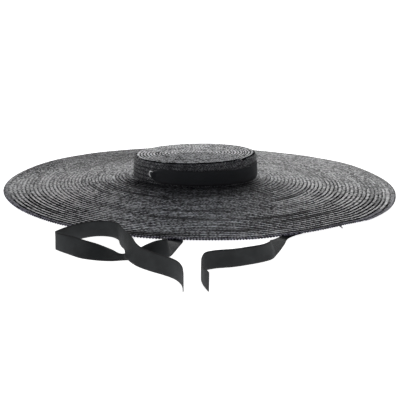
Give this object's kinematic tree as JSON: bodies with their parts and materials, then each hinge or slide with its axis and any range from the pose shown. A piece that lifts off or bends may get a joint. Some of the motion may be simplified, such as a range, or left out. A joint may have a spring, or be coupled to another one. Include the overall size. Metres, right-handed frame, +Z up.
{
  "type": "straw hat",
  "caption": "Low-crowned, very wide-brimmed straw hat of coiled plait with a grosgrain band and two ribbon ties, resting on a level surface.",
  "frame": {"origin": "on the level surface the hat rests on, under the middle of the rim", "axes": "+Z up; X along the long axis of the oval crown and brim; -Y towards the two ribbon ends"},
  "size_m": [0.63, 0.793, 0.0623],
  "materials": {
    "straw_crown": "glossy dyed straw plait",
    "straw_brim": "glossy dyed straw plait",
    "band_ribbon": "matte ribbed",
    "tie_ribbon": "matte ribbed",
    "eyelet": "polished"
  },
  "bodies": {
    "root": {"crown": "straw_crown", "brim": "straw_brim", "ribbon_band": "band_ribbon", "eyelet_near": "eyelet", "eyelet_far": "eyelet", "tie_left": "tie_ribbon", "tie_right": "tie_ribbon"}
  },
  "joints": []
}
